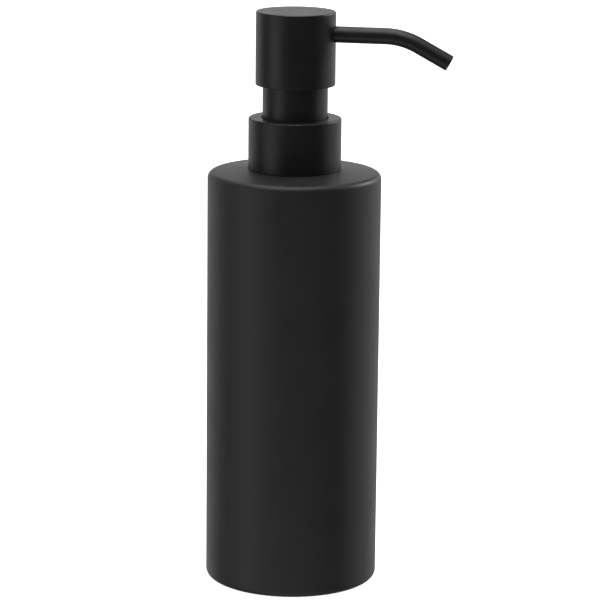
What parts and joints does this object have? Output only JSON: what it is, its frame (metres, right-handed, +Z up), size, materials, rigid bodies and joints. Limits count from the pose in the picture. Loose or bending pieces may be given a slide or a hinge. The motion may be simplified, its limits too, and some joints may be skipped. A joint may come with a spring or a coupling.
{
  "type": "soap pump dispenser",
  "caption": "Slim cylindrical stoneware soap bottle with a screw-on pump: a press-down head on a guide sleeve, and a thin spout that bends down at its end.",
  "frame": {"origin": "centre of the resting face under the base pad, on the bottle's axis", "axes": "+Z up along the pump's axis, +X along the spout as stored, +Y completes the right-handed frame"},
  "size_m": [0.0844, 0.06, 0.2],
  "materials": {
    "matt_glaze": "matt black glaze on stoneware",
    "black_coat": "satin black powder coat on stainless steel",
    "black_plastic": "moulded polypropylene, black",
    "natural_plastic": "moulded polypropylene, natural",
    "soft_plastic": "polyethylene, translucent white",
    "rubber": "matt black silicone rubber",
    "steel": "drawn stainless steel"
  },
  "bodies": {
    "bottle": {"bottle": "matt_glaze", "base_pad": "rubber", "neck_insert": "black_plastic"},
    "pump": {"pump_housing": "natural_plastic", "dip_tube": "soft_plastic", "neck_gasket": "soft_plastic", "ball_cage": "natural_plastic", "spring": "steel", "chaplet": "black_plastic", "stem_seal": "rubber", "guide_sleeve": "black_coat"},
    "collar": {"closure": "black_plastic", "collar_shell": "black_coat"},
    "ball": {"inlet_ball": "steel"},
    "plunger": {"stem": "natural_plastic", "stem_plug": "natural_plastic"},
    "piston": {"piston": "soft_plastic"},
    "head": {"head_shell": "black_coat", "head_core": "black_plastic", "spout_tube": "black_coat", "spout_liner": "soft_plastic"}
  },
  "joints": [
    {"name": "pump_lift", "type": "slide", "parent": "bottle", "child": "pump", "axis": [0, 0, 1], "range_m": [0, 0.155]},
    {"name": "collar_turn", "type": "hinge", "parent": "pump", "child": "collar", "pos_m": [0, 0, 0.1545], "axis": [0, 0, 1], "continuous": true},
    {"name": "inlet_ball_lift", "type": "slide", "parent": "pump", "child": "ball", "axis": [0, 0, 1], "range_m": [0, 0.0015]},
    {"name": "head_press", "type": "slide", "parent": "pump", "child": "plunger", "axis": [0, 0, -1], "range_m": [0, 0.0105], "stiffness_N_per_m": 600, "springref_m": -0.012, "deforming": ["spring"]},
    {"name": "piston_slip", "type": "slide", "parent": "plunger", "child": "piston", "axis": [0, 0, 1], "range_m": [0, 0.0012]},
    {"name": "head_turn", "type": "hinge", "parent": "plunger", "child": "head", "pos_m": [0, 0, 0.1925], "axis": [0, 0, 1], "continuous": true}
  ]
}
